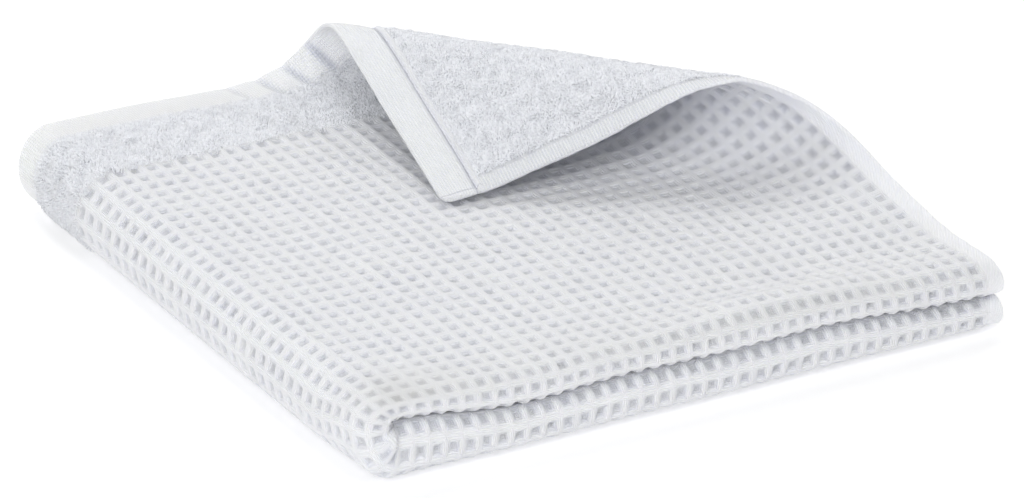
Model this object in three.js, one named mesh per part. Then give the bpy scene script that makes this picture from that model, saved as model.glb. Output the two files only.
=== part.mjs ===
// A bath towel folded into a square stack, with its top back corner turned over.
// The cloth is one slab, followed by two lengths: "along" runs from hem to hem, and
// "across" from selvedge to selvedge. Along is folded back and forth in a section of
// four layers, and that section is then bent once round the left side of the stack.
// Millimetres, +Z up. The origin is under the middle of the stack, on what it lies on.
import * as THREE from "three";

// The cloth
const clothWidth = 700;
const clothLength = 1400;
const clothThickness = 4.2;

// The stack. A layer pitch is one thickness and the air above it.
const layerPitch = 4.9;
const hemToFrontFold = 341;
const innerHemSetBack = 2;

// How full the stack lies, as a share of its height in theory: full on the left, and
// pressed down on the right.
const fullness = { middle: 0.985, perMillimetreX: -0.00068, perMillimetreY: 0.00018 };

// The turned corner is a cone of straight creases that all run through one point beyond
// the back of the stack. Each turn bends the cloth between two of those creases. An
// angle is counted from the main crease, towards the corner.
const coneApex = new THREE.Vector2(-278, 496);
const mainCrease = THREE.MathUtils.degToRad(-54.2);
const turns = [
  { name: "rises off the stack", from: -2.45, span: 9.3, turn: 53.5 },
  { name: "rolls over", from: 0.4, span: 10.25, turn: 155.4 },
  { name: "settles on the stack", from: 13.85, span: 10.5, turn: -45 },
];
const coneSpan = 60;
const coneSteps = 600;

// Behind the roll, the corner of the layers under it is drawn in to a slanted line, which
// leaves the right side and the back at these distances from their corner.
const drawnCorner = { alongRight: 108, alongBack: 103, rounding: 14, easesFromX: -60 };

// Faces to a bend. A fine stretch covers the turned corner.
const turnedCornerReach = 266;
const steps = { turnedCorner: 21, restOfLayer: 4, outerFold: 8, innerFold: 6, sideFold: 10,
  layerFront: 3, layerBack: 4, lowerHalf: 6 };

const colour = 0xe9eaee;

// Lengths along the cloth, worked out from the sizes above. A depth is a height over the
// mid plane of the stack, before the side fold bends the lower half under.
const half = layerPitch / 2;
const outerRadius = 3 * half;
const innerRadius = half;
const outerFoldLength = Math.PI * outerRadius;
const innerFoldLength = Math.PI * innerRadius;
const hiddenHemLength = hemToFrontFold - innerHemSetBack;
const hiddenLayer =
  (clothLength - outerFoldLength - 2 * innerFoldLength - hemToFrontFold - hiddenHemLength) / 2;
const skin = clothThickness / 2;
const frontToBack = outerRadius + skin + hiddenLayer + innerRadius + skin;
const frontY = outerRadius + skin - frontToBack / 2;
const backY = frontY + hemToFrontFold;
const hiddenFoldY = frontY + hiddenLayer;

// The side fold
const topDepth = 7 * half;
const sideFoldLength = Math.PI * topDepth;
const flatWidth = (clothWidth - sideFoldLength) / 2;
const sideToSide = flatWidth + topDepth + skin;
const rightX = sideToSide / 2;
const sideFoldX = rightX - flatWidth;
const midPlane = topDepth + skin;

// Where the slanted line of the drawn-in corner leaves the right side, and how far each
// hidden layer runs on behind that
const drawnY = backY - drawnCorner.alongRight;
const layerFront = drawnY - frontY;
const layerBack = hiddenFoldY - drawnY;
const hemBack = hiddenHemLength - layerFront;

// A layer runs straight towards the front (-1) or the back (+1). A fold turns half round
// a centre: it bulges to the front (-1) or the back (+1), down or up through its depths.
const stretches = [
  { kind: "layer", y: backY, depth: topDepth, heading: -1, length: turnedCornerReach,
    steps: steps.turnedCorner },
  { kind: "layer", y: backY - turnedCornerReach, depth: topDepth, heading: -1,
    length: hemToFrontFold - turnedCornerReach, steps: steps.restOfLayer },
  { kind: "fold", y: frontY, depth: 4 * half, radius: outerRadius, bulge: -1, start: 1,
    length: outerFoldLength, steps: steps.outerFold },
  { kind: "layer", y: frontY, depth: half, heading: 1, length: layerFront,
    steps: steps.layerFront },
  { kind: "layer", y: drawnY, depth: half, heading: 1, length: layerBack, steps: steps.layerBack },
  { kind: "fold", y: hiddenFoldY, depth: 2 * half, radius: innerRadius, bulge: 1, start: -1,
    length: innerFoldLength, steps: steps.innerFold },
  { kind: "layer", y: hiddenFoldY, depth: 3 * half, heading: -1, length: layerBack,
    steps: steps.layerBack },
  { kind: "layer", y: drawnY, depth: 3 * half, heading: -1, length: layerFront,
    steps: steps.layerFront },
  { kind: "fold", y: frontY, depth: 4 * half, radius: innerRadius, bulge: -1, start: -1,
    length: innerFoldLength, steps: steps.innerFold },
  { kind: "layer", y: frontY, depth: 5 * half, heading: 1, length: layerFront,
    steps: steps.layerFront },
  { kind: "layer", y: drawnY, depth: 5 * half, heading: 1, length: hemBack,
    steps: steps.layerBack },
];

// The section: where the middle of the cloth is, part of the way along one stretch, and
// which way its waffle side looks.
function sectionPoint(stretch, share) {
  const gone = share * stretch.length;
  if (stretch.kind === "layer") {
    return {
      y: stretch.y + stretch.heading * gone,
      depth: stretch.depth,
      normalY: 0,
      normalDepth: -stretch.heading,
    };
  }
  const angle = gone / stretch.radius;
  const outwardY = stretch.bulge * Math.sin(angle);
  const outwardDepth = stretch.start * Math.cos(angle);
  // The waffle is on the outside of a fold, but for the one that brings the inner hem back
  const waffle = stretch.start * stretch.bulge === -1 ? 1 : -1;
  return {
    y: stretch.y + stretch.radius * outwardY,
    depth: stretch.depth + stretch.radius * outwardDepth,
    normalY: waffle * outwardY,
    normalDepth: waffle * outwardDepth,
  };
}

// The side fold: a point of the section is carried left over the stack, half round the
// side and back to the right under it.
function bendSideways(section, across) {
  const turned = THREE.MathUtils.clamp((across - flatWidth) / sideFoldLength, 0, 1);
  const angle = Math.PI / 2 + Math.PI * turned;
  const beyond = Math.max(across - flatWidth - sideFoldLength, 0);
  const before = Math.max(flatWidth - across, 0);
  const point = new THREE.Vector3(
    sideFoldX + before + beyond + section.depth * Math.cos(angle),
    section.y,
    midPlane + section.depth * Math.sin(angle),
  );
  const normal = new THREE.Vector3(
    section.normalDepth * Math.cos(angle),
    section.normalY,
    section.normalDepth * Math.sin(angle),
  );
  return { point, normal };
}

// The cone: the direction of every crease once the cloth is bent. A crease starts in the
// plane of the top layer, and each small step turns it on by one step in the cloth and
// lifts the cloth about it by what the turns say.
function smoothRise(x) {
  const clamped = THREE.MathUtils.clamp(x, 0, 1);
  return clamped * clamped * (3 - 2 * clamped);
}

function turnedSoFar(degrees) {
  let sum = 0;
  for (const turn of turns) sum += turn.turn * smoothRise((degrees - turn.from) / turn.span);
  return THREE.MathUtils.degToRad(sum);
}

function bentCreases() {
  const start = turns[0].from;
  const step = coneSpan / coneSteps;
  const stepAngle = THREE.MathUtils.degToRad(step);
  const startAngle = mainCrease + THREE.MathUtils.degToRad(start);
  const along = new THREE.Vector3(Math.cos(startAngle), Math.sin(startAngle), 0);
  const up = new THREE.Vector3(0, 0, 1);
  const creases = [{ along: along.clone(), up: up.clone() }];
  for (let i = 0; i < coneSteps; i += 1) {
    const bend = turnedSoFar(start + (i + 1) * step) - turnedSoFar(start + i * step);
    along.applyAxisAngle(up, stepAngle).normalize();
    up.applyAxisAngle(along, bend).normalize();
    creases.push({ along: along.clone(), up: up.clone() });
  }
  return creases;
}

const creases = bentCreases();

// A point of the top layer, given by its place before the corner was turned
function turnCorner(x, y) {
  const arm = new THREE.Vector2(x, y).sub(coneApex);
  const reach = arm.length();
  const degrees = THREE.MathUtils.radToDeg(Math.atan2(arm.y, arm.x) - mainCrease);
  const place = ((degrees - turns[0].from) / coneSpan) * coneSteps;
  if (place <= 0) return null;
  const before = creases[Math.floor(place)];
  const after = creases[Math.floor(place) + 1];
  const share = place - Math.floor(place);
  const along = before.along.clone().lerp(after.along, share).normalize();
  const normal = before.up.clone().lerp(after.up, share).normalize();
  const point = along.multiplyScalar(reach);
  point.add(new THREE.Vector3(coneApex.x, coneApex.y, midPlane + topDepth));
  return { point, normal };
}

// Draws in the corner of the lower layers: a point moves left by its share of the way from
// where the cloth eases to the right side, times what the slanted line cuts off there.
function drawIn(point) {
  const { alongRight, alongBack, rounding, easesFromX } = drawnCorner;
  const past = point.y - drawnY;
  const rounded = THREE.MathUtils.clamp(past + rounding, 0, 2 * rounding) ** 2 / (4 * rounding);
  const cutOff = ((past > rounding ? past : rounded) * alongBack) / alongRight;
  point.x -= cutOff * Math.max((point.x - easesFromX) / (rightX - easesFromX), 0);
  return point;
}

// Presses the stack down by a share of its height at each place
function settle(point) {
  const across = fullness.perMillimetreX * point.x;
  const along = fullness.perMillimetreY * point.y;
  point.z *= fullness.middle + across + along;
  return point;
}

// One face of the cloth: side is +1 for the waffle and -1 for the terry
function clothPoint(stretch, share, across, side) {
  const section = sectionPoint(stretch, share);
  const onTop = section.depth === topDepth && stretch.kind === "layer" && across < flatWidth;
  const turned = onTop ? turnCorner(rightX - across, section.y) : null;
  const { point, normal } = turned ?? bendSideways(section, across);
  point.addScaledVector(normal, side * skin);
  return settle(onTop ? point : drawIn(point));
}

// Places where the cloth is cut into faces
function alongStations() {
  const stations = [{ stretch: stretches[0], share: 0 }];
  for (const stretch of stretches) {
    for (let i = 1; i <= stretch.steps; i += 1) stations.push({ stretch, share: i / stretch.steps });
  }
  return stations;
}

function acrossStations() {
  const parts = [
    { length: turnedCornerReach, steps: steps.turnedCorner },
    { length: flatWidth - turnedCornerReach, steps: steps.restOfLayer },
    { length: sideFoldLength, steps: steps.sideFold },
    { length: flatWidth, steps: steps.lowerHalf },
  ];
  const stations = [0];
  let reached = 0;
  for (const part of parts) {
    for (let i = 1; i <= part.steps; i += 1) stations.push(reached + (part.length * i) / part.steps);
    reached += part.length;
  }
  return stations;
}

// The slab: a grid of points on either face, and a rim that joins them all round. Each
// square of the grid is split the way the turned corner's creases run.
function clothGeometry() {
  const rows = alongStations();
  const columns = acrossStations();
  const positions = [];
  for (const side of [1, -1]) {
    for (const row of rows) {
      for (const across of columns) {
        positions.push(...clothPoint(row.stretch, row.share, across, side).toArray());
      }
    }
  }
  const width = columns.length;
  const faceSize = rows.length * width;
  const triangles = [];
  const quad = (a, b, c, d) => triangles.push(a, b, d, b, c, d);
  for (let row = 0; row + 1 < rows.length; row += 1) {
    for (let column = 0; column + 1 < width; column += 1) {
      const a = row * width + column;
      const b = a + 1;
      const c = b + width;
      const d = a + width;
      quad(a, b, c, d);
      quad(a + faceSize, d + faceSize, c + faceSize, b + faceSize);
    }
  }
  const lastRow = (rows.length - 1) * width;
  for (let column = 0; column + 1 < width; column += 1) {
    const hem = column;
    const otherHem = lastRow + column;
    quad(hem + faceSize, hem + 1 + faceSize, hem + 1, hem);
    quad(otherHem, otherHem + 1, otherHem + 1 + faceSize, otherHem + faceSize);
  }
  for (let row = 0; row + 1 < rows.length; row += 1) {
    const selvedge = row * width;
    const next = selvedge + width;
    const otherSelvedge = selvedge + width - 1;
    const otherNext = otherSelvedge + width;
    quad(selvedge, next, next + faceSize, selvedge + faceSize);
    quad(otherSelvedge + faceSize, otherNext + faceSize, otherNext, otherSelvedge);
  }
  const geometry = new THREE.BufferGeometry();
  geometry.setAttribute("position", new THREE.Float32BufferAttribute(positions, 3));
  geometry.setIndex(triangles);
  geometry.computeVertexNormals();
  return geometry;
}

const cotton = new THREE.MeshStandardMaterial({ color: colour, roughness: 0.95, metalness: 0 });
const towel = new THREE.Mesh(clothGeometry(), cotton);
towel.name = "towel";

const group = new THREE.Group();
group.add(towel);

export default group;
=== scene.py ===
"""A white bath towel folded into a square stack, its top back corner turned over.

The cloth is one surface of two lengths, in metres: along, from hem to hem, and across, from
selvedge to selvedge. FoldedCloth says where any point of it lies, and every piece is made
from that: the woven slab, the terry loops and the stitches of the hems.
"""
import math

import bpy
import numpy as np
from mathutils import Matrix, Vector


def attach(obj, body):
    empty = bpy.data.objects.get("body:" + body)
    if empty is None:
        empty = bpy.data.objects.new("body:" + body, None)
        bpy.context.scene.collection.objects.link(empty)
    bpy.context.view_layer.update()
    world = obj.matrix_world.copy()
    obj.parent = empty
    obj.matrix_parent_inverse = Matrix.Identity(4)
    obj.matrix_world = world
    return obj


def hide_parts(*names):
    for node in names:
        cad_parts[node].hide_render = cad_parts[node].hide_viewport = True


bl_info = {
    "name": "Folded waffle towel",
    "version": (1, 0, 0),
    "blender": (4, 5, 0),
    "location": "View3D > Sidebar > Towel",
    "description": "Builds a folded waffle towel with terry loops, its stage and its camera",
    "category": "Object",
}

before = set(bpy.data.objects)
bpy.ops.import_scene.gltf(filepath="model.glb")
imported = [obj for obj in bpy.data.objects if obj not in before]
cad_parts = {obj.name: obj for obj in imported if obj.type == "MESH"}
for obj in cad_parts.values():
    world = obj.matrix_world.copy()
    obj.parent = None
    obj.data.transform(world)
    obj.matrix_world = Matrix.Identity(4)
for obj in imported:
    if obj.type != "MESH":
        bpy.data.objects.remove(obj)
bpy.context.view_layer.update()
BODY = "root"
NODE = "towel"

# The stack's height as a share of its plain height: in the middle, and its change along x and y
STACK_TILT = (0.985, -0.68, 0.18)
STACK_UNEVEN = 0.006
STACK_UNEVEN_WAVE = 0.055

# Soft ridges and troughs that run through the whole stack, as a share of its height
SWELLS = (
    # x, y, reach in x, reach in y, rise
    (0.090, -0.128, 0.075, 0.017, -0.060),
    (0.145, -0.160, 0.045, 0.015, 0.045),
    (0.055, -0.161, 0.050, 0.014, 0.130),
    (0.000, -0.165, 0.070, 0.014, 0.035),
    (-0.150, -0.150, 0.045, 0.045, 0.030),
    (-0.118, 0.020, 0.022, 0.090, -0.020),
    (-0.120, 0.165, 0.075, 0.050, 0.045),
)

# The outside of the front fold slants: it starts this much earlier than its inside, and the
# weave is stretched by this share there
FRONT_SLANT = 0.0035
FOLD_STRETCH = 0.10

# How far the cleft between the upper and the lower front fold is lifted along the front
CLEFT_LIFTS = (
    # x, reach, lift
    (-0.150, 0.045, 0.0085),
    (-0.030, 0.055, 0.0042),
    (0.080, 0.050, 0.0042),
)
CLEFT_DEPTH = 0.045
CLEFT_POWER = 2.5

# The turned corner is part of a cone. Each bend is given by the degree where it begins, counted
# from the main crease, the degrees that it takes and the degrees that it turns.
BENDS = ((-2.45, 9.3, 53.5), (0.4, 10.25, 155.4), (13.85, 10.5, -45.0))
CONE_APEX = (-0.278, 0.496)
CONE_START = BENDS[0][0]
MAIN_CREASE = -54.2
CONE_SPAN = 60.0
CONE_STEPS = 600
LAST_STEP = CONE_STEPS - 1e-6

# The selvedge of the turned corner hangs a little, least at the tip and not past the crest
EDGE_HANG = 0.0034
EDGE_HANG_AT_TIP = 0.4
EDGE_REACH = 0.036
HANG_RISES_OVER = 0.035
HANG_FADES_FROM = 0.104
HANG_FADES_OVER = 0.034
HANG_WAVES = (
    # along, reach, hang
    (0.083, 0.020, 0.0013),
    (0.157, 0.014, -0.0026),
)

# A plain pillow of cloth where the front fold meets the side fold: along, across
CORNER_PILLOW = (0.3540, 0.3635)
PILLOW_REACH = (0.0045, 0.0085)
PILLOW_RISE = 0.0030

# Each corner of the cloth is sewn round
CORNER_RADIUS = 0.007

# Where the back hem puckers as it climbs to the roll
PUCKERS = (
    # across at the edge, slant, depth
    (0.1785, 0.13, 0.0030),
    (0.1958, 0.28, 0.0029),
    (0.2115, 0.35, 0.0023),
    (0.2288, 0.40, 0.0013),
)
PUCKER_WIDTH = 0.0031
PUCKER_REACH = 0.023
PUCKER_FADES_FROM = 0.75
PUCKER_OPENS_OVER = 0.008
PUCKER_BANK = 0.35
PUCKER_BANK_WIDTH = 0.0070
# The pucker depth at which the hem's painted shade in a valley is full
PUCKER_DEPTH_OF_FULL_SHADE = 0.0020

# The slanted line that the lower layers' corner is drawn in to, behind the roll
DRAWN_ALONG_RIGHT = 0.108
DRAWN_ALONG_BACK = 0.103
DRAWN_ROUNDING = 0.014
DRAWN_FROM_X = -0.060

# The rim of the cloth is rounded over this width, and falls by this much on either side
RIM = 0.0014
RIM_STEPS = 3
WAFFLE_RIM_FALL = 0.0007
TERRY_RIM_FALL = 0.0006

# Levels over the middle of the cloth, as shares of half its thickness
HEM_LEVEL = 0.50
BAND_STEP = 0.25
UNDER_HEM_LEVEL = 0.66
UNDER_SELVEDGE_LEVEL = 0.60
GROUND_LEVEL = 0.74
LOOP_FOOT_LEVEL = 0.70

# A waffle cell's wall, in shares of the way from the cell's middle to a ridge: where it begins,
# how much later luck lets it begin, and its width
WALL_FOOT = 0.26
WALL_FOOT_LUCK = 0.12
WALL_WIDTH = 0.46
PIT_LEAST = 0.72
PIT_LUCK = 0.42
PIT_EVEN = 0.94
PIT_ROUGH = 0.10
PIT_ROUGH_WAVE = 0.0035

# How far the waffle's ridges waver, and the wave that they follow
ALONG_RIDGES_WAVER = (0.0004, 0.045)
ACROSS_RIDGES_WAVER = (0.0005, 0.040)

# Tufts of the terry, as heights and waves
TERRY_STREAKS = (0.00019, 0.0065)
TERRY_BROAD = (0.00013, 0.019)
STREAK_STRETCH = 0.55

# The cord, the groove and the pillow of the turned-in hem: how far past the hem's depth each
# lies, its width and its height
HEM_CORD = (0.0006, 0.0010, 0.0015)
HEM_GROOVE = (-0.0019, 0.0008, 0.0013)
HEM_PILLOW = 0.0008

# Each use of seeded noise has a seed of its own
SEED_STACK = 3
SEED_WALLS = 5
SEED_PITS = 6
SEED_ALONG_RIDGES = 11
SEED_ACROSS_RIDGES = 12
SEED_ROUGH = 13
SEED_STREAKS = 22
SEED_BROAD = 23
SEED_LEAN_ALONG = 24
SEED_LEAN_ACROSS = 25
SEED_RAGGED = 26
SEED_FLAP = 31
SEED_ROLL = 32
SEED_INNER = 33
SEED_BAND = 34
SEED_STITCHES = 41

NOISE_WAVES = 7
CELL_SCRAMBLE = (127.1, 311.7, 74.7, 43758.5453)


def length(name, default, description):
    """A length in metres for a property group."""
    return bpy.props.FloatProperty(
        name=name, description=description, default=default, min=0.0, unit="LENGTH", precision=4
    )


def amount(name, default, description):
    """A plain number from 0 up for a property group."""
    return bpy.props.FloatProperty(name=name, description=description, default=default, min=0.0)


def angle(name, degrees, description):
    """An angle, given here in degrees, for a property group."""
    return bpy.props.FloatProperty(
        name=name, description=description, default=math.radians(degrees), subtype="ANGLE"
    )


def colour(name, default, description):
    """A colour for a property group."""
    return bpy.props.FloatVectorProperty(
        name=name, description=description, subtype="COLOR", size=3, default=default,
        min=0.0, max=1.0,
    )


class TowelSettings(bpy.types.PropertyGroup):
    """The cloth's sizes and colours."""

    cloth_width: length("Width", 0.700, "Selvedge to selvedge")
    cloth_length: length("Length", 1.400, "Hem to hem")
    thickness: length("Thickness", 0.0042, "Waffle ridges to the ends of the terry loops")
    layer_pitch: length("Layer pitch", 0.0049, "One layer and the air over it")
    hem_to_fold: length("Hem to front fold", 0.341, "Depth of the top layer")
    inner_hem_set_back: length("Inner hem set back", 0.002, "How far the hidden hem lies inside")
    hem_depth: length("Hem", 0.020, "Depth of the plain hem")
    band_end: length("Band end", 0.0645, "Hem edge to the first waffle cell")
    selvedge: length("Selvedge", 0.009, "Width of the plain woven edge")
    cell_across: length("Cell across", 0.008525, "Waffle pitch from selvedge to selvedge")
    cell_along: length("Cell along", 0.009144, "Waffle pitch from hem to hem")
    cell_depth: length("Cell depth", 0.0024, "Ridge to floor of a waffle cell")
    loop_height: length("Loop height", 0.0009, "How far a terry loop stands up")
    loop_yarn: length("Loop yarn", 0.00080, "Thickness of a loop's yarn")
    stitch_length: length("Stitch", 0.0026, "Length of a hem stitch")
    cotton: colour("Cotton", (0.885, 0.895, 0.955), "Colour of the yarn")
    pile: colour("Pile", (0.945, 0.96, 1.0), "Colour of the terry loops")
    # Shade is the colour of painted shade, mixed into the cotton in the pits, grooves, pucker
    # valleys and under the loops; random mottle mixes towards it too
    shade: colour("Shade", (0.565, 0.58, 0.63), "Colour between the yarns")


class StageSettings(bpy.types.PropertyGroup):
    """The camera, the light and the floor."""

    azimuth: angle("Azimuth", -29.4, "Round the towel, 0 looks along +Y")
    elevation: angle("Elevation", 25.3, "Above the floor")
    roll: angle("Roll", 0.25, "Turn about the line of sight")
    distance: length("Distance", 3.9085, "Camera to the point it looks at")
    lens: bpy.props.FloatProperty(
        name="Lens", description="Focal length in millimetres", default=288.3, min=1.0
    )
    aim: bpy.props.FloatVectorProperty(
        name="Aim", description="Point in the middle of the picture", size=3,
        default=(0.0060, -0.0006, 0.0091), unit="LENGTH",
    )
    sky: amount("Sky", 0.12, "Strength of the light from all round")
    lamps: amount("Lamps", 0.91, "Power of the ring of soft lights")
    floor_glow: amount("Floor glow", 0.37, "Light that the floor gives of itself")
    floor_colour: colour("Floor", (0.75, 0.75, 0.75), "Colour of the floor")


def smooth_rise(x):
    """0 before 0, 1 after 1, and 3x^2 - 2x^3 between."""
    x = np.clip(x, 0.0, 1.0)
    return x * x * (3.0 - 2.0 * x)


def bell(away):
    """1 at 0, falling off on both sides: e to the power of minus the square."""
    return np.exp(-(away ** 2))


def soft_noise(x, y, wavelength, seed):
    """Smooth noise, mostly from -1 to 1: the sum of sine waves in seeded directions, over the
    root of one and a half times their number."""
    dice = np.random.default_rng(seed)
    total = np.zeros(np.broadcast(x, y).shape)
    least, most = (0, 0, 0.7), (math.tau, math.tau, 1.4)
    for heading, phase, stretch in dice.uniform(least, most, (NOISE_WAVES, 3)):
        run = np.cos(heading) * x + np.sin(heading) * y
        total = total + np.sin(math.tau * run / (wavelength * stretch) + phase)
    return total / math.sqrt(NOISE_WAVES * 1.5)


def cell_noise(i, j, seed):
    """One steady random value from 0 to 1 for each pair of whole numbers: what is left after
    the point of a large multiple of the sine of a sum of them."""
    by_i, by_j, by_seed, enlarge = CELL_SCRAMBLE
    mixed = np.sin(i * by_i + j * by_j + seed * by_seed) * enlarge
    return mixed - np.floor(mixed)


def crease_degrees(x, y):
    """Angle of a flat point of the top layer round the cone's apex, from the main crease."""
    return np.degrees(np.arctan2(y - CONE_APEX[1], x - CONE_APEX[0])) - MAIN_CREASE


class FoldedCloth:
    """Where every point of the folded cloth lies.

    Along is folded in a section of four layers joined by half circles. The section is bent
    once round the left side, and the top layer's back corner is bent into a cone.
    """

    def __init__(self, size):
        half = size.layer_pitch / 2
        skin = size.thickness / 2
        outer_length = 3 * half * math.pi
        inner_length = half * math.pi
        top = size.hem_to_fold
        hidden_hem = top - size.inner_hem_set_back
        hidden = (size.cloth_length - outer_length - 2 * inner_length - top - hidden_hem) / 2
        depth = 3 * half + skin + hidden + half + skin
        front = 3 * half + skin - depth / 2
        self.skin = skin
        self.width = size.cloth_width
        self.length = size.cloth_length
        self.top_end = top
        self.front_fold = outer_length
        self.front = front
        self.back = front + top
        self.top_depth = 7 * half
        self.fold_centre = 4 * half
        self.side_fold = math.pi * self.top_depth
        self.flat_width = (size.cloth_width - self.side_fold) / 2
        self.right = (self.flat_width + self.top_depth + skin) / 2
        self.side_fold_x = self.right - self.flat_width
        self.mid_plane = self.top_depth + skin
        # A run: y, depth, heading and length. A fold: y, depth, bulge, start, radius, length.
        self.stretches = (
            ("run", self.back, 7 * half, -1, 0, 0, top),
            ("fold", front, 4 * half, -1, 1, 3 * half, outer_length),
            ("run", front, half, 1, 0, 0, hidden),
            ("fold", front + hidden, 2 * half, 1, -1, half, inner_length),
            ("run", front + hidden, 3 * half, -1, 0, 0, hidden),
            ("fold", front, 4 * half, -1, -1, half, inner_length),
            ("run", front, 5 * half, 1, 0, 0, hidden_hem),
        )
        self.starts = np.concatenate([[0.0], np.cumsum([s[-1] for s in self.stretches])])
        self.creases = self.bent_creases()

    def section(self, along):
        """y, depth and waffle normal. A run is a straight line at one depth. A fold is its
        centre plus its radius times (bulge sin t, start cos t), where t is length / radius."""
        values = np.zeros((4,) + along.shape)
        which = np.searchsorted(self.starts, along, side="right") - 1
        which = np.clip(which, 0, len(self.stretches) - 1)
        for index, (kind, y, depth, way, start, radius, _) in enumerate(self.stretches):
            here = which == index
            gone = along[here] - self.starts[index]
            if kind == "run":
                rows = (y + way * gone, depth + 0 * gone, 0 * gone, -way + 0 * gone)
            else:
                side_y = way * np.sin(gone / radius)
                side_depth = start * np.cos(gone / radius)
                waffle = 1 if way * start == -1 else -1
                rows = (
                    y + radius * side_y, depth + radius * side_depth,
                    waffle * side_y, waffle * side_depth,
                )
            values[:, here] = np.stack(rows)
        return self.square_cleft(along, self.slant_front(along, values))

    def slant_front(self, along, values):
        """The outer quarter of the front fold as a quarter ellipse that starts early: its
        centre plus (-wide sin t, tall cos t), with the normal (-sin t / wide, cos t / tall)."""
        gone = along - self.top_end + FRONT_SLANT
        quarter = FRONT_SLANT + self.front_fold / 2
        here = (gone > 0) & (gone < quarter)
        turn = gone[here] / quarter * math.pi / 2
        sine, cosine = np.sin(turn), np.cos(turn)
        tall = self.front_fold / math.pi
        wide = tall + FRONT_SLANT
        size = np.hypot(sine / wide, cosine / tall)
        values[:, here] = np.stack([
            self.front + FRONT_SLANT - wide * sine, self.fold_centre + tall * cosine,
            -sine / wide / size, cosine / tall / size,
        ])
        return values

    def square_cleft(self, along, values):
        """The quarter of the front fold that lies in the cleft as a squarer curve: at an angle
        a its distance from the centre is R / (cos^n a + sin^n a)^(1/n), with the normal
        (cos^(n-1) a, sin^(n-1) a)."""
        gone = along - self.top_end - self.front_fold / 2
        here = (gone > 0) & (gone < self.front_fold / 2)
        turn = gone[here] / self.front_fold * math.pi
        sine, cosine = np.sin(turn), np.cos(turn)
        radius = self.front_fold / math.pi
        away = radius / (cosine ** CLEFT_POWER + sine ** CLEFT_POWER) ** (1 / CLEFT_POWER)
        normal_y, normal_depth = cosine ** (CLEFT_POWER - 1), sine ** (CLEFT_POWER - 1)
        size = np.hypot(normal_y, normal_depth)
        values[:, here] = np.stack([
            self.front - away * cosine, self.fold_centre - away * sine,
            -normal_y / size, -normal_depth / size,
        ])
        return values

    def woven(self, along):
        """Length along the weave: the length plus a share of what lies on the outside of the
        front fold, which is stretched."""
        bent = np.clip(along - self.top_end + FRONT_SLANT, 0, FRONT_SLANT + self.front_fold)
        return along + FOLD_STRETCH * bent

    def bend_sideways(self, along, across):
        """The section at height z = mid plane + depth, carried left, then turned half round
        the side fold's axis, where (x, z) = (depth cos t, depth sin t), and back right."""
        y, depth, normal_y, normal_depth = self.section(along)
        turned = np.clip((across - self.flat_width) / self.side_fold, 0, 1)
        turn = math.pi / 2 + math.pi * turned
        straight = np.maximum(across - self.flat_width - self.side_fold, 0)
        straight = straight + np.maximum(self.flat_width - across, 0)
        x = self.side_fold_x + straight + depth * np.cos(turn)
        z = self.mid_plane + depth * np.sin(turn)
        point = np.stack([x, y, z], -1)
        normal = np.stack(
            [normal_depth * np.cos(turn), normal_y, normal_depth * np.sin(turn)], -1
        )
        return point, normal

    @staticmethod
    def bent_creases():
        """Direction and normal of each straight crease of the cone. Each small step turns the
        crease on in the cloth's plane, and then the plane about the crease by the bends."""
        step = CONE_SPAN / CONE_STEPS
        degrees = CONE_START + step * np.arange(CONE_STEPS + 1)
        bend = sum(turn * smooth_rise((degrees - start) / span) for start, span, turn in BENDS)
        start = math.radians(MAIN_CREASE + CONE_START)
        crease = Vector((math.cos(start), math.sin(start), 0))
        normal = Vector((0, 0, 1))
        rows = [(*crease, *normal)]
        cosine, sine = math.cos(math.radians(step)), math.sin(math.radians(step))
        for turn in np.radians(np.diff(bend)):
            forward = normal.cross(crease)
            crease = (crease * cosine + forward * sine).normalized()
            forward = normal.cross(crease)
            normal = (normal * math.cos(turn) - forward * math.sin(turn)).normalized()
            rows.append((*crease, *normal))
        return np.array(rows)

    def turn_corner(self, point, normal, inside):
        """Inside the cone a flat point keeps its distance from the apex and moves on to the
        bent crease of its own angle."""
        degrees = crease_degrees(point[..., 0], point[..., 1])
        place = (degrees - CONE_START) / CONE_SPAN * CONE_STEPS
        inside = inside & (place > 0)
        place = np.clip(place[inside], 0, LAST_STEP)
        low = place.astype(int)
        share = (place - low)[:, None]
        row = self.creases[low] * (1 - share) + self.creases[low + 1] * share
        arm = point[inside][:, :2] - np.array(CONE_APEX)
        reach = np.hypot(arm[:, :1], arm[:, 1:])
        turned = row[:, :3] / np.linalg.norm(row[:, :3], axis=1, keepdims=True) * reach
        turned += np.array([*CONE_APEX, self.mid_plane + self.top_depth])
        point[inside] = turned
        normal[inside] = row[:, 3:] / np.linalg.norm(row[:, 3:], axis=1, keepdims=True)
        return point, normal

    def draw_in(self, point):
        """A point of the lower layers moves left by its share of the way from where the cloth
        eases to the right side, times what the slanted line cuts off there. The line begins
        as a parabola over twice its rounding."""
        past = point[..., 1] - (self.back - DRAWN_ALONG_RIGHT)
        rounded = np.clip(past + DRAWN_ROUNDING, 0, 2 * DRAWN_ROUNDING) ** 2
        rounded = rounded / (4 * DRAWN_ROUNDING)
        cut_off = np.where(past > DRAWN_ROUNDING, past, rounded)
        cut_off = cut_off * DRAWN_ALONG_BACK / DRAWN_ALONG_RIGHT
        share = np.maximum((point[..., 0] - DRAWN_FROM_X) / (self.right - DRAWN_FROM_X), 0)
        point[..., 0] -= cut_off * share
        return point

    @staticmethod
    def droop(along, across):
        """How far the turned corner's selvedge hangs: a rise and a fall along it, plus a bell
        curve for each wave, times the square of the nearness to the selvedge."""
        rise = EDGE_HANG_AT_TIP + (1 - EDGE_HANG_AT_TIP) * smooth_rise(along / HANG_RISES_OVER)
        hang = EDGE_HANG * rise
        hang = hang * (1 - smooth_rise((along - HANG_FADES_FROM) / HANG_FADES_OVER))
        for centre, reach, deeper in HANG_WAVES:
            hang = hang + deeper * bell((along - centre) / reach)
        return hang * np.clip(1 - across / EDGE_REACH, 0, 1) ** 2

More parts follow.
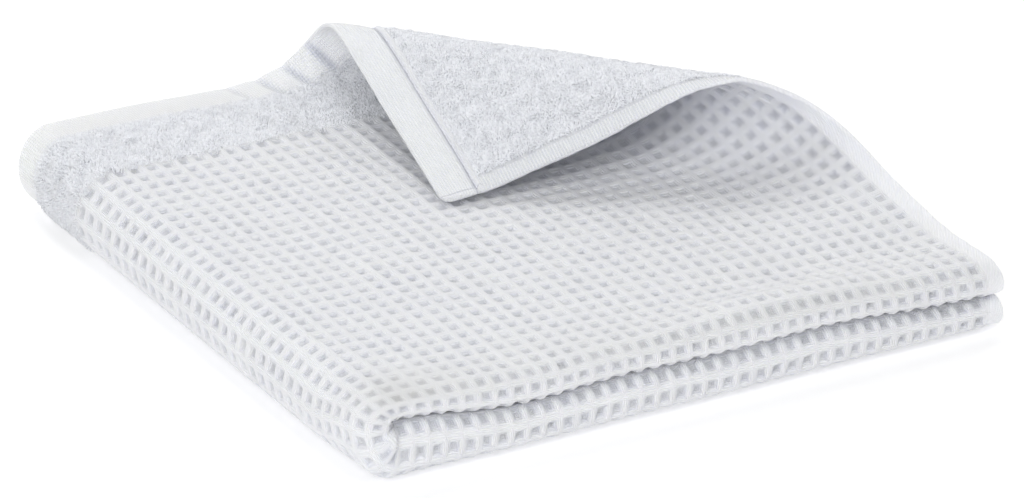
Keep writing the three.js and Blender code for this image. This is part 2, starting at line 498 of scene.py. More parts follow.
    @staticmethod
    def puckers(along, across):
        """Depth of the valleys across the hem: for each a bell curve over across, less a wider
        and weaker one beside it, that starts half as deep at the edge and fades inwards."""
        depth = np.zeros(along.shape)
        fade = 0.5 + 0.5 * smooth_rise(along / PUCKER_OPENS_OVER)
        fade = fade * (1 - smooth_rise(along / PUCKER_REACH - PUCKER_FADES_FROM))
        for centre, slant, deep in PUCKERS:
            away = across - centre + slant * along
            valley = bell(away / PUCKER_WIDTH) - PUCKER_BANK * bell(away / PUCKER_BANK_WIDTH)
            depth += deep * valley * fade
        return depth

    def round_corners(self, along, across):
        """Within a radius of each corner, the square of places becomes a quarter disc: with u
        and v from 1 at the rims to 0, they become u sqrt(1 - v^2 / 2) and v sqrt(1 - u^2 / 2)."""
        u = np.clip(1 - self.from_hem(along) / CORNER_RADIUS, 0, 1)
        v = np.clip(1 - self.from_selvedge(across) / CORNER_RADIUS, 0, 1)
        shift_along = CORNER_RADIUS * u * (1 - np.sqrt(1 - v * v / 2))
        shift_across = CORNER_RADIUS * v * (1 - np.sqrt(1 - u * u / 2))
        return (
            along + np.where(along * 2 < self.length, shift_along, -shift_along),
            across + np.where(across * 2 < self.width, shift_across, -shift_across),
        )

    def from_hem(self, along):
        """Distance to the nearer hem edge."""
        return np.minimum(along, self.length - along)

    def from_selvedge(self, across):
        """Distance to the nearer selvedge."""
        return np.minimum(across, self.width - across)

    def lift_cleft(self, point):
        """Height plus a lift that is a bell curve in x for each place of the table, fades
        inwards from the front, and is a half sine wave from the floor to the top."""
        x, y, z = point[..., 0], point[..., 1], point[..., 2]
        near = smooth_rise((self.front - y) / CLEFT_DEPTH + 1)
        up = np.sin(math.pi * np.clip(z / (2 * self.mid_plane), 0, 1))
        lift = sum(rise * bell((x - centre) / reach) for centre, reach, rise in CLEFT_LIFTS)
        point[..., 2] += lift * near * up
        return point

    @staticmethod
    def settle(point):
        """Height times a share: a tilted plane, plus a bell curve for each swell, plus noise."""
        x, y = point[..., 0], point[..., 1]
        middle, along_x, along_y = STACK_TILT
        share = middle + along_x * x + along_y * y
        for centre_x, centre_y, reach_x, reach_y, rise in SWELLS:
            away = ((x - centre_x) / reach_x) ** 2 + ((y - centre_y) / reach_y) ** 2
            share = share + rise * np.exp(-away)
        share = share + STACK_UNEVEN * soft_noise(x, y, STACK_UNEVEN_WAVE, SEED_STACK)
        point[..., 2] *= share
        return point

    def place(self, along, across, height):
        """Points at a height over the cloth's middle, above 0 on its waffle side: bent, turned
        at the corner, moved along their normals, and then drawn in, lifted and settled."""
        along, across, height = np.broadcast_arrays(along, across, height)
        along, across = self.round_corners(along, across)
        point, normal = self.bend_sideways(along, across)
        top = (along < self.top_end) & (across < self.flat_width)
        point, normal = self.turn_corner(point, normal, top)
        point += normal * (height - self.puckers(along, across))[..., None]
        point[top, 2] -= self.droop(along[top], across[top])
        point[~top] = self.draw_in(point[~top])
        return self.settle(self.lift_cleft(point))


def wavered(value, along, across, waver, seed):
    """A length plus noise, by a waver's swing and wave."""
    swing, wave = waver
    return value + swing * soft_noise(along, across, wave, seed)


def waffle_ridges(size, along, across):
    """Nearness to the ridges that run along and to those that run across: 1 on a ridge and
    0 midway between two, on a grid that wavers a little, and each cell's two numbers."""
    wavy_across = wavered(across, along, across, ALONG_RIDGES_WAVER, SEED_ALONG_RIDGES)
    wavy_along = wavered(along, along, across, ACROSS_RIDGES_WAVER, SEED_ACROSS_RIDGES)
    cell_x = (wavy_across - size.selvedge) / size.cell_across
    cell_y = (wavy_along - size.band_end) / size.cell_along
    near_along = np.abs(2 * (cell_x - np.floor(cell_x)) - 1)
    near_across = np.abs(2 * (cell_y - np.floor(cell_y)) - 1)
    return near_along, near_across, np.floor(cell_x), np.floor(cell_y)


def waffle_height(size, cloth, along, across):
    """Height of the waffle side: a pyramid pit in each cell, whose depth and width vary from
    cell to cell, between round ridges. The hem, band and selvedge are plain."""
    near_along, near_across, cell_x, cell_y = waffle_ridges(size, cloth.woven(along), across)
    foot = WALL_FOOT_LUCK * cell_noise(cell_x, cell_y, SEED_WALLS)
    wall_along = smooth_rise((near_along - WALL_FOOT - foot) / WALL_WIDTH)
    wall_across = smooth_rise((near_across - WALL_FOOT - foot) / WALL_WIDTH)
    pit = (1 - wall_along) * (1 - wall_across)
    pit = pit * (PIT_EVEN + PIT_ROUGH * soft_noise(along, across, PIT_ROUGH_WAVE, SEED_ROUGH))
    deep = size.cell_depth * (PIT_LEAST + PIT_LUCK * cell_noise(cell_x, cell_y, SEED_PITS))
    waffle = cloth.skin - deep * pit
    inward = cloth.from_hem(along)
    sideways = cloth.from_selvedge(across)
    past_hem = inward - size.hem_depth
    plain = HEM_LEVEL * cloth.skin + BAND_STEP * cloth.skin * smooth_rise(past_hem / 0.0012)
    plain = plain + clumps(along, across, 1) * smooth_rise(past_hem / 0.003)
    is_waffle = smooth_rise((inward - size.band_end + 0.001) / 0.002)
    is_waffle = is_waffle * smooth_rise((sideways - size.selvedge + 0.0012) / 0.0024)
    height = plain + (waffle - plain) * is_waffle
    pillow = pillow_share(along, across)
    height = height + (cloth.skin + PILLOW_RISE - height) * pillow
    return height - WAFFLE_RIM_FALL * rounded_edge(inward, sideways)


def pillow_share(along, across):
    """1 over the middle of the near corner's pillow, with a flat top and round flanks: e to
    the power of minus the fourth power of the distance, in reaches."""
    from_along = (along - CORNER_PILLOW[0]) / PILLOW_REACH[0]
    from_across = (across - CORNER_PILLOW[1]) / PILLOW_REACH[1]
    return bell(from_along ** 2 + from_across ** 2)


def clumps(along, across, side):
    """Tufts and streaks of the terry, as a height. The streaks run with the cloth's length on
    the waffle side and across it on the other."""
    slow_along, slow_across = (STREAK_STRETCH, 1.0) if side > 0 else (1.0, STREAK_STRETCH)
    streak, streak_wave = TERRY_STREAKS
    broad, broad_wave = TERRY_BROAD
    streaks = soft_noise(slow_along * along, slow_across * across, streak_wave, SEED_STREAKS)
    return streak * streaks + broad * soft_noise(along, across, broad_wave, SEED_BROAD)


def terry_height(size, cloth, along, across):
    """Height of the terry side's ground, below 0: sunk under the loops, and at the hem raised
    as half a sine wave with a cord and a groove, each a bell curve over the distance."""
    inward = cloth.from_hem(along)
    sideways = cloth.from_selvedge(across)
    past_hem = inward - size.hem_depth
    ground = -GROUND_LEVEL * cloth.skin - clumps(along, across, -1)
    cord = HEM_CORD[2] * bell((past_hem - HEM_CORD[0]) / HEM_CORD[1])
    groove = HEM_GROOVE[2] * bell((past_hem - HEM_GROOVE[0]) / HEM_GROOVE[1])
    pillow = HEM_PILLOW * np.sin(math.pi * np.clip(inward / (size.hem_depth - 0.001), 0, 1))
    hem = -UNDER_HEM_LEVEL * cloth.skin - pillow - cord + groove
    is_hem = 1 - smooth_rise((past_hem - 0.0014) / 0.0010)
    is_edge = 1 - smooth_rise((sideways - size.selvedge) / 0.0015)
    height = ground + (hem - ground) * is_hem
    edge = -UNDER_SELVEDGE_LEVEL * cloth.skin
    height = height + (edge - height) * is_edge * (1 - is_hem)
    return height + TERRY_RIM_FALL * rounded_edge(inward, sideways)


def rounded_edge(inward, sideways):
    """1 at the rim of the cloth, falling to 0 a little inside it as a quarter circle does."""
    near = np.clip(np.minimum(inward, sideways) / RIM, 0, 1)
    return 1 - np.sqrt(1 - (1 - near) ** 2)


def grid_faces(ids):
    """Four-sided faces of a grid of point numbers."""
    return np.stack([ids[:-1, :-1], ids[:-1, 1:], ids[1:, 1:], ids[1:, :-1]], -1).reshape(-1, 4)


def strip_faces(first, first_at, second, second_at):
    """Triangles between two rows of points that begin and end together. Sorted by place,
    each next point of either row makes a triangle with the last point of both."""
    places = np.concatenate([first_at[1:], second_at[1:]])
    on_first = np.concatenate([np.ones(len(first) - 1, bool), np.zeros(len(second) - 1, bool)])
    on_first = on_first[np.argsort(places, kind="stable")]
    a = np.cumsum(on_first)
    b = np.cumsum(~on_first)
    tip = np.where(on_first, first[a], second[b])
    return np.stack([first[a - on_first], tip, second[b - ~on_first]], -1)


def steps_between(stops):
    """Places from a table of (from, to, number of steps), without repeats."""
    parts = [np.linspace(start, end, count, endpoint=False) for start, end, count in stops]
    return np.concatenate(parts + [[stops[-1][1]]])


def new_object(name, points, faces, materials, material_index=None, smooth=True, **maps):
    """A mesh object at the origin from whole arrays. faces is a list of arrays of point
    numbers, one array for each number of corners, and maps are UV maps by their names."""
    corners = np.concatenate([part.ravel() for part in faces]).astype(np.int32)
    totals = np.concatenate([np.full(len(part), part.shape[1]) for part in faces])
    starts = np.concatenate([[0], np.cumsum(totals)[:-1]])
    mesh = bpy.data.meshes.new(name)
    mesh.vertices.add(len(points))
    mesh.vertices.foreach_set("co", points.astype(np.float32).ravel())
    mesh.loops.add(len(corners))
    mesh.loops.foreach_set("vertex_index", corners)
    mesh.polygons.add(len(totals))
    mesh.polygons.foreach_set("loop_start", starts.astype(np.int32))
    mesh.polygons.foreach_set("loop_total", totals.astype(np.int32))
    for material in materials:
        mesh.materials.append(material)
    if material_index is not None:
        mesh.polygons.foreach_set("material_index", material_index.astype(np.int32))
    mesh.update(calc_edges=True)
    for map_name, places in maps.items():
        layer = mesh.uv_layers.new(name=map_name)
        layer.data.foreach_set("uv", places[corners].astype(np.float32).ravel())
    mesh.polygons.foreach_set("use_smooth", np.full(len(totals), smooth))
    mesh.validate()
    item = bpy.data.objects.new(name, mesh)
    bpy.context.scene.collection.objects.link(item)
    return item


class Wiring:
    """Adds nodes to a material and joins them, so that a pattern reads as a sum."""

    # Sockets of a Mix node for colours, which share their names with its other sockets
    MIX_SHARE, MIX_FIRST, MIX_SECOND, MIX_RESULT = 0, 6, 7, 2

    def __init__(self, material):
        self.tree = material.node_tree
        self.nodes = material.node_tree.nodes

    def node(self, kind, **values):
        """A new node with its settings."""
        made = self.nodes.new(kind)
        for key, value in values.items():
            setattr(made, key, value)
        return made

    def feed(self, socket, value):
        """Joins a socket to another, or gives it a plain value."""
        if isinstance(value, bpy.types.NodeSocket):
            self.tree.links.new(value, socket)
        else:
            socket.default_value = value

    def math(self, operation, *values, clamp=False):
        """What a Math node makes of its values."""
        made = self.node("ShaderNodeMath", operation=operation, use_clamp=clamp)
        for socket, value in zip(made.inputs, values):
            self.feed(socket, value)
        return made.outputs[0]

    def times(self, value, by, plus, clamp=False):
        """A value times one number plus another."""
        return self.math("MULTIPLY_ADD", value, by, plus, clamp=clamp)

    def line(self, value, at, width):
        """1 where a value is at a place, falling straight to 0 a width away from it."""
        away = self.math("ABSOLUTE", self.math("SUBTRACT", value, at))
        return self.times(away, -1 / width, 1.0, clamp=True)

    def own_map(self, name):
        """The two values that one of the piece's own UV maps holds."""
        uv = self.node("ShaderNodeUVMap", uv_map=name)
        split = self.node("ShaderNodeSeparateXYZ")
        self.feed(split.inputs[0], uv.outputs[0])
        return split.outputs[0], split.outputs[1]

    def ribs(self, place, pitch):
        """Round ribs, -1 to 1, one for each pitch: the sine of the place."""
        return self.math("SINE", self.math("MULTIPLY", place, math.tau / pitch))

    def noise(self, scale, detail=3.0):
        """Noise from 0 to 1 in the object's own coordinates."""
        where = self.node("ShaderNodeTexCoord")
        made = self.node("ShaderNodeTexNoise")
        self.feed(made.inputs["Vector"], where.outputs["Object"])
        self.feed(made.inputs["Scale"], scale)
        self.feed(made.inputs["Detail"], detail)
        return made.outputs[0]

    def mix(self, share, first, second):
        """A colour between two."""
        made = self.node("ShaderNodeMix", data_type="RGBA")
        self.feed(made.inputs[self.MIX_SHARE], share)
        self.feed(made.inputs[self.MIX_FIRST], first)
        self.feed(made.inputs[self.MIX_SECOND], second)
        return made.outputs[self.MIX_RESULT]


def cotton_material(pattern, size, bump_depth, lit=None, sheen=0.25, through=0.8):
    """White cotton, named for its pattern, which some light comes through. pattern(wiring,
    size) gives a height from -1 to 1 for the bump, and how much painted shade shows, from 0
    to 1, as a mix towards the shade colour; random fuzz and cloudy mottle are added to it.
    The rest is the lit colour."""
    material = bpy.data.materials.new(pattern.__name__)
    material.use_nodes = True
    wiring = Wiring(material)
    shader = wiring.nodes["Principled BSDF"]
    shader.inputs["Roughness"].default_value = 0.92
    shader.inputs["Specular IOR Level"].default_value = 0.2
    shader.inputs["Sheen Weight"].default_value = sheen
    shader.inputs["Sheen Roughness"].default_value = 0.6
    shader.inputs["Subsurface Weight"].default_value = through
    shader.inputs["Subsurface Radius"].default_value = (1.0, 1.0, 1.1)
    shader.inputs["Subsurface Scale"].default_value = 0.004
    height, shadow = pattern(wiring, size)
    fuzz = wiring.noise(1900.0, detail=4.0)
    cloudy = wiring.noise(38.0, detail=2.0)
    shadow = wiring.math("ADD", shadow, wiring.times(fuzz, 0.3, -0.12))
    shadow = wiring.math("ADD", shadow, wiring.times(cloudy, 0.16, -0.08), clamp=True)
    # Painted shade: the lit colour goes towards the shade colour by the pattern's share plus random
    # mottle
    shown = wiring.mix(shadow, (*(lit or size.cotton), 1.0), (*size.shade, 1.0))
    wiring.feed(shader.inputs["Base Color"], shown)
    bump = wiring.node("ShaderNodeBump")
    bump.inputs["Strength"].default_value = 0.7
    bump.inputs["Distance"].default_value = bump_depth
    relief = wiring.math("ADD", height, wiring.math("MULTIPLY", fuzz, 1.6))
    wiring.feed(bump.inputs["Height"], relief)
    wiring.feed(shader.inputs["Normal"], bump.outputs[0])
    return material


def waffle_cotton(wiring, size):
    """Long yarns lie on the ridges, each way along its own. The pits are painted with shade,
    with ragged rims and a few floats across them, and the grooves between the yarns with a
    little painted shade."""
    across, along = wiring.own_map("cloth")
    near = []
    for place, first, pitch in (
        (across, size.selvedge, size.cell_across),
        (along, size.band_end, size.cell_along),
    ):
        cell = wiring.math("DIVIDE", wiring.math("SUBTRACT", place, first), pitch)
        share = wiring.math("FRACT", cell)
        near.append(wiring.math("ABSOLUTE", wiring.times(share, 2.0, -1.0)))
    along_ribs = wiring.ribs(across, pitch=0.00094)
    across_ribs = wiring.ribs(along, pitch=0.00101)
    on_along = wiring.times(wiring.math("SUBTRACT", near[0], near[1]), 4.0, 0.5, clamp=True)
    on_across = wiring.math("SUBTRACT", 1.0, on_along)
    ribs = wiring.math("ADD", wiring.math("MULTIPLY", along_ribs, on_along),
                       wiring.math("MULTIPLY", across_ribs, on_across))
    nearest = wiring.math("MAXIMUM", near[0], near[1])
    # Painted shade in the pits: a ragged rim and a random strength say how far their colour goes
    # towards the shade colour
    rim = wiring.math("ADD", nearest, wiring.times(wiring.noise(420.0), 0.50, -0.25))
    pit = wiring.times(rim, -2.2, 1.55, clamp=True)
    depth = wiring.times(wiring.noise(75.0, detail=1.0), 0.6, 0.34)
    # The ribs add a little painted shade where they are low, between the yarns
    return ribs, wiring.times(ribs, -0.10, wiring.math("MULTIPLY", pit, depth))


def hem_cotton(wiring, size):
    """Plain weave of the hem: fine cords across it and finer ones along it, with painted shade
    between the cords and in the valleys of the puckers."""
    across, along = wiring.own_map("cloth")
    cords = wiring.ribs(across, pitch=0.00125)
    cross = wiring.ribs(along, pitch=0.0018)
    height = wiring.times(cross, 0.8, cords)
    valley, _ = wiring.own_map("valleys")
    # Painted shade: darker where the cords are low, and by the valleys map in the pucker valleys
    return height, wiring.times(height, -0.13, wiring.times(valley, 0.7, 0.08))


def under_hem_cotton(wiring, size):
    """The turned-in side of the hem: fine lines that run with it, with a little painted shade
    between them, and painted shade in the groove beside its cord and as a line for the slot
    of its open end."""
    across, along = wiring.own_map("cloth")
    lines = wiring.ribs(along, pitch=0.00135)
    cross = wiring.ribs(across, pitch=0.0011)
    inward = wiring.math("MINIMUM", along, wiring.math("SUBTRACT", size.cloth_length, along))
    sideways = wiring.math("MINIMUM", across, wiring.math("SUBTRACT", size.cloth_width, across))
    # Painted shade: the groove and the open end's slot are lines whose colour goes towards the
    # shade colour
    groove = wiring.line(inward, at=size.hem_depth + HEM_GROOVE[0], width=HEM_GROOVE[1])
    slot = wiring.line(sideways, at=0.0024, width=0.0007)
    painted_groove_and_slot_shade = wiring.math("MAXIMUM", groove, slot)
    shadow = wiring.times(painted_groove_and_slot_shade, 0.75, wiring.times(lines, -0.09, 0.02))
    return wiring.times(cross, 0.5, lines), shadow


def selvedge_cotton(wiring, size):
    """Slanted twill of the selvedge on the waffle side, with a little painted shade in the
    grooves of the twill.
    """
    across, along = wiring.own_map("cloth")
    twill = wiring.ribs(wiring.times(along, -0.56, across), pitch=0.0015)
    cross = wiring.ribs(along, pitch=0.0008)
    # Painted shade where the twill is low
    return wiring.times(cross, 0.4, twill), wiring.times(twill, -0.07, 0.03)


def under_selvedge_cotton(wiring, size):
    """Cords that run out to the selvedge on the terry side, with painted shade between them."""
    across, along = wiring.own_map("cloth")
    cords = wiring.ribs(along, pitch=0.0016)
    cross = wiring.ribs(across, pitch=0.0009)
    # Painted shade where the cords are low
    return wiring.times(cross, 0.25, cords), wiring.times(cords, -0.20, 0.10)


def ground_cotton(wiring, size):
    """The ground that the terry loops stand on, with the loops' shade painted into its colour,
    mottled at random.
    """
    return wiring.noise(700.0), wiring.times(wiring.noise(480.0, detail=2.0), 0.7, 0.10)


def loop_cotton(wiring, size):
    """Soft yarn of the terry loops."""
    return wiring.noise(1500.0, detail=2.0), wiring.times(wiring.noise(650.0), 1.5, -0.67)


def stitch_cotton(wiring, size):
    """Twisted sewing thread."""
    shadow = wiring.math("MULTIPLY", wiring.noise(500.0, detail=1.0), 0.1)
    return wiring.noise(2200.0, detail=2.0), shadow


def dress(item):
    """Rides on the towel's body."""
    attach(item, BODY)
    return item


def face_side(cloth, size, height, row_groups):
    """One face of the slab as rows of points. Each group of rows has its own columns, and
    neighbouring groups are joined by a strip. Returns the points, their (across, along), the
    faces, and the point numbers and places of each rim."""
    grids, faces = [], []
    count = 0
    for rows, columns in row_groups:
        ids = count + np.arange(len(rows) * len(columns)).reshape(len(rows), len(columns))
        faces.append(grid_faces(ids))
        if grids:
            last_ids, _, last_columns = grids[-1]
            faces.append(strip_faces(last_ids[-1], last_columns, ids[0], columns))
        grids.append((ids, rows, columns))
        count += ids.size
    along = np.concatenate([np.repeat(rows, len(columns)) for _, rows, columns in grids])
    across = np.concatenate([np.tile(columns, len(rows)) for _, rows, columns in grids])
    all_rows = np.concatenate([rows for _, rows, _ in grids])
    points = cloth.place(along, across, height(size, cloth, along, across))
    rims = {
        "first": (grids[0][0][0], grids[0][2]),
        "last": (grids[-1][0][-1], grids[-1][2]),
        "left": (np.concatenate([ids[:, 0] for ids, _, _ in grids]), all_rows),
        "right": (np.concatenate([ids[:, -1] for ids, _, _ in grids]), all_rows),
    }
    return points, np.stack([across, along], -1), faces, rims


# The woven cloth's finishes, in the order of its material slots: pattern, bump depth, and
# whether it has the pile's light colour
WOVEN_FINISHES = (
    (waffle_cotton, 0.00034, False),
    (hem_cotton, 0.00026, True),
    (selvedge_cotton, 0.00015, False),
    (ground_cotton, 0.0006, True),
    (under_hem_cotton, 0.0003, False),
    (under_selvedge_cotton, 0.0005, False),
)
WAFFLE, HEM, SELVEDGE, GROUND, UNDER_HEM, UNDER_SELVEDGE = range(len(WOVEN_FINISHES))
WAFFLE_FACE, TERRY_FACE, RIM_FACE = range(3)
STEPS_IN_A_CELL = 6


class TOWEL_OT_cloth(bpy.types.Operator):
    """The woven slab: waffle side, terry ground and rims, folded as one piece"""

    bl_idname = "towel.cloth"
    bl_label = "Woven cloth"

    def execute(self, context):
        size = context.scene.towel
        cloth = FoldedCloth(size)
        waffle_groups, ground_groups = self.row_groups(size, cloth)
        points_w, place_w, faces_w, rims_w = face_side(cloth, size, waffle_height, waffle_groups)
        points_g, place_g, faces_g, rims_g = face_side(cloth, size, terry_height, ground_groups)
        offset = len(points_w)
        faces_g = [part[:, ::-1] + offset for part in faces_g]
        rim_faces = []
        for name, flip in (("first", True), ("last", False), ("left", False), ("right", True)):
            ids_w, at_w = rims_w[name]
            ids_g, at_g = rims_g[name]
            strip = strip_faces(ids_w, at_w, ids_g + offset, at_g)
            rim_faces.append(strip[:, ::-1] if flip else strip)
        place = np.concatenate([place_w, place_g])
        index = [
            self.finish_of(size, cloth, place[part].mean(axis=1), side)
            for side, parts in (
                (WAFFLE_FACE, faces_w), (TERRY_FACE, faces_g), (RIM_FACE, rim_faces)
            )
            for part in parts
        ]
        materials = [
            cotton_material(pattern, size, bump_depth, tuple(size.pile) if is_light else None)
            for pattern, bump_depth, is_light in WOVEN_FINISHES
        ]
        # Painted shade for the hem: each point's pucker depth as a share of the depth of full
        # shade, carried in the valleys map
        valley = np.clip(cloth.puckers(place[:, 1], place[:, 0]) / PUCKER_DEPTH_OF_FULL_SHADE, 0, 1)
        item = dress(new_object(
            "woven_cloth", np.concatenate([points_w, points_g]), faces_w + faces_g + rim_faces,
            materials, np.concatenate(index),
            cloth=np.stack([place[:, 0], cloth.woven(place[:, 1])], -1),
            valleys=np.stack([valley, 0 * valley], -1),
        ))
        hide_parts(NODE)
        return {"FINISHED"}

    @staticmethod
    def row_groups(size, cloth):
        """Rows and columns of both faces, as tables of (from, to, steps): fine where the
        cloth shows and coarse where it lies hidden."""
        fine = size.cell_across / STEPS_IN_A_CELL
        fine_along = size.cell_along / STEPS_IN_A_CELL
        wide, long = cloth.width, cloth.length
        bend_end = cloth.flat_width + cloth.side_fold
        seen_end = bend_end + 0.010
        waffle_from = size.selvedge - 0.0012
        waffle_row = size.band_end - 0.001
        starts = cloth.starts
        front_from = starts[1] - size.cell_along
        front_to = starts[2] + 0.006
        near_rim, far_rim = (0.0, RIM, RIM_STEPS), (wide - RIM, wide, RIM_STEPS)
        near_edge = [near_rim, (RIM, waffle_from, 4)]

        def fine_columns(start, end):
            """A table row whose steps are as fine as the waffle needs."""
            return (start, end, max(2, round((end - start) / fine)))

        upper_columns = steps_between(
            near_edge + [fine_columns(waffle_from, seen_end), (seen_end, wide - RIM, 26), far_rim]
        )
        all_columns = steps_between(near_edge + [fine_columns(waffle_from, wide - RIM), far_rim])
        hidden_columns = steps_between([
            near_rim, (RIM, cloth.flat_width, 30), (cloth.flat_width, bend_end, 14),
            (bend_end, wide - RIM, 24), far_rim,
        ])
        ground_columns = steps_between([
            near_rim, (RIM, 0.25, 80), (0.25, bend_end, 20), (bend_end, wide - RIM, 12), far_rim,
        ])
        upper_rows = steps_between([
            (0.0, RIM, RIM_STEPS), (RIM, waffle_row, 22),
            (waffle_row, front_from, round((front_from - size.band_end) / fine_along)),
        ])
        front_steps = round((front_to - front_from) / fine_along * 1.2)
        front_rows = steps_between([(front_from, front_to, front_steps)])
        hidden_rows = steps_between([
            (front_to, starts[3], 6), (starts[3], starts[4], 8), (starts[4], starts[5], 6),
            (starts[5], starts[6], 8), (starts[6], long - RIM, 10), (long - RIM, long, RIM_STEPS),
        ])
        ground_rows = steps_between([
            (0.0, RIM, RIM_STEPS), (RIM, 0.0165, 5), (0.0165, 0.0235, 18), (0.0235, 0.28, 80),
            (0.28, starts[1], 8), (starts[1], starts[2], 14),
        ])
        waffle_groups = [
            (upper_rows, upper_columns), (front_rows[1:], all_columns),
            (hidden_rows[1:], hidden_columns),
        ]
        return waffle_groups, [(ground_rows, ground_columns), (hidden_rows, hidden_columns)]

    @staticmethod
    def finish_of(size, cloth, middle, side):
        """Number of each face's material, by which side it is on and how far in its middle
        lies."""
        inward = cloth.from_hem(middle[:, 1])
        sideways = cloth.from_selvedge(middle[:, 0])
        if side == TERRY_FACE:
            index = np.where(sideways < size.selvedge, UNDER_SELVEDGE, GROUND)
            return np.where(inward < size.hem_depth + 0.0018, UNDER_HEM, index)
        index = np.where(inward < size.band_end, GROUND, WAFFLE)
        index = np.where(sideways < size.selvedge, SELVEDGE, index)
        return np.where(inward < size.hem_depth, HEM, index)


# How terry loops vary: the least, and what luck adds to it at most
YARN_VARIES = (0.85, 0.4)
SPREAD_VARIES = (0.75, 0.5)
HEIGHT_VARIES = (0.55, 0.9)
LOOP_SUNK = 0.0004
LOOP_TILT = 0.7
LEAN_WAVE = 0.011
LEAN_LUCK = 0.8
LOOP_SIDES = 3
LOOP_RINGS = 3

# Where terry loops begin, in from the hem and from the selvedge
LOOPS_FROM_HEM = 0.0024
LOOPS_FROM_SELVEDGE = 0.0006

# Degrees round the cone's apex where the back of the roll begins and where its crest lies
ROLL_FOOT = 1.2
ROLL_CREST = 5.2


def scatter(region, spacing, seed):
    """A jittered grid of places (along, across) in a box, with one random row for each."""
    (along_from, along_to), (across_from, across_to) = region
    dice = np.random.default_rng(seed)
    along = np.arange(along_from, along_to, spacing)
    across = np.arange(across_from, across_to, spacing)
    grid = np.stack(np.meshgrid(along, across, indexing="ij"), -1).reshape(-1, 2)
    grid = grid + dice.uniform(-0.42, 0.42, grid.shape) * spacing
    return grid[:, 0], grid[:, 1], dice.uniform(0, 1, (len(grid), 5))


def varied(luck, varies):
    """The least plus luck times what it adds."""
    least, more = varies
    return least + more * luck


def loop_points(cloth, size, along, across, luck, side):
    """Each loop is an arch of yarn: its middle line is (r cos t, h sin t) in an upright plane
    with a random heading, and leans the way that its neighbours do. Three points go round it
    at either foot, inside the ground, and at its crown."""
    yarn = size.loop_yarn / 2 * varied(luck[:, 0], YARN_VARIES)
    spread = size.loop_yarn * varied(luck[:, 1], SPREAD_VARIES)
    rise = size.loop_height * varied(luck[:, 2], HEIGHT_VARIES)
    heading = math.tau * luck[:, 3]
    lean_along = soft_noise(along, across, LEAN_WAVE, SEED_LEAN_ALONG)
    lean_along = lean_along + LEAN_LUCK * (luck[:, 4] - 0.5)
    lean_across = soft_noise(along, across, LEAN_WAVE, SEED_LEAN_ACROSS)
    lean_across = lean_across + LEAN_LUCK * (luck[:, 0] - 0.5)
    base = LOOP_FOOT_LEVEL * cloth.skin + clumps(along, across, side)
    points = []
    for arch in np.linspace(0.0, math.pi, LOOP_RINGS):
        for spin in np.arange(LOOP_SIDES) * math.tau / LOOP_SIDES:
            out = (spread + yarn * math.cos(spin)) * math.cos(arch)
            up = -LOOP_SUNK + (rise + yarn * math.cos(spin) + LOOP_SUNK) * math.sin(arch)
            beside = yarn * math.sin(spin)
            tilt = LOOP_TILT * np.maximum(up, 0)
            step_along = out * np.cos(heading) - beside * np.sin(heading) + tilt * lean_along
            step_across = out * np.sin(heading) + beside * np.cos(heading) + tilt * lean_across
            points.append(cloth.place(along + step_along, across + step_across, side * (base + up)))
    return np.stack(points, 1)


def loop_faces(loops):
    """Bands of quads between the neighbouring rings of a loop, repeated."""
    bands = [
        (low + k, low + (k + 1) % LOOP_SIDES, low + LOOP_SIDES + (k + 1) % LOOP_SIDES,
         low + LOOP_SIDES + k)
        for low in range(0, LOOP_SIDES * (LOOP_RINGS - 1), LOOP_SIDES) for k in range(LOOP_SIDES)
    ]
    shift = LOOP_SIDES * LOOP_RINGS * np.arange(loops)[:, None, None]
    return (np.array(bands) + shift).reshape(-1, 4)


def terry_piece(context, name, side, spacing, region, keep, seed):
    """A patch of terry loops on one side of the cloth, kept where keep(cloth, along, across)
    says."""
    size = context.scene.towel
    cloth = FoldedCloth(size)
    along, across, luck = scatter(region, spacing, seed)
    chosen = keep(cloth, along, across)
    along, across, luck = along[chosen], across[chosen], luck[chosen]
    points = loop_points(cloth, size, along, across, luck, side)
    faces = loop_faces(len(points))
    if side < 0:
        faces = faces[:, ::-1]
    material = cotton_material(loop_cotton, size, 0.0002, tuple(size.pile), 0.35, 0.0)
    return dress(new_object(
        name, points.reshape(-1, 3), [faces], [material],
        cloth=np.repeat(np.stack([across, along], -1), LOOP_SIDES * LOOP_RINGS, axis=0),
    ))


def top_degrees(cloth, along, across):
    """Angle of a top layer's point round the cone's apex, from the main crease."""
    return crease_degrees(cloth.right - across, cloth.back - along)


class TOWEL_OT_flap_terry(bpy.types.Operator):
    """Terry loops on the turned corner, from its crest to its tip"""

    bl_idname = "towel.flap_terry"
    bl_label = "Terry of the turned corner"

    def execute(self, context):
        size = context.scene.towel
        region = (
            (size.hem_depth + LOOPS_FROM_HEM, 0.21), (size.selvedge + LOOPS_FROM_SELVEDGE, 0.18)
        )

        def keep(cloth, along, across):
            """Past the crest."""
            return top_degrees(cloth, along, across) > ROLL_CREST

        terry_piece(context, "flap_terry", -1, 0.00086, region, keep, SEED_FLAP)
        return {"FINISHED"}


class TOWEL_OT_roll_terry(bpy.types.Operator):
    """Terry loops on the back of the rolled corner, from its foot to its crest"""

    bl_idname = "towel.roll_terry"
    bl_label = "Terry of the roll"

    def execute(self, context):
        size = context.scene.towel
        region = (
            (size.hem_depth + LOOPS_FROM_HEM, 0.30), (size.selvedge + LOOPS_FROM_SELVEDGE, 0.25)
        )

        def keep(cloth, along, across):
            """Between the foot and the crest."""
            degrees = top_degrees(cloth, along, across)
            return (degrees <= ROLL_CREST) & (degrees > ROLL_FOOT)

        terry_piece(context, "roll_terry", -1, 0.0010, region, keep, SEED_ROLL)
        return {"FINISHED"}


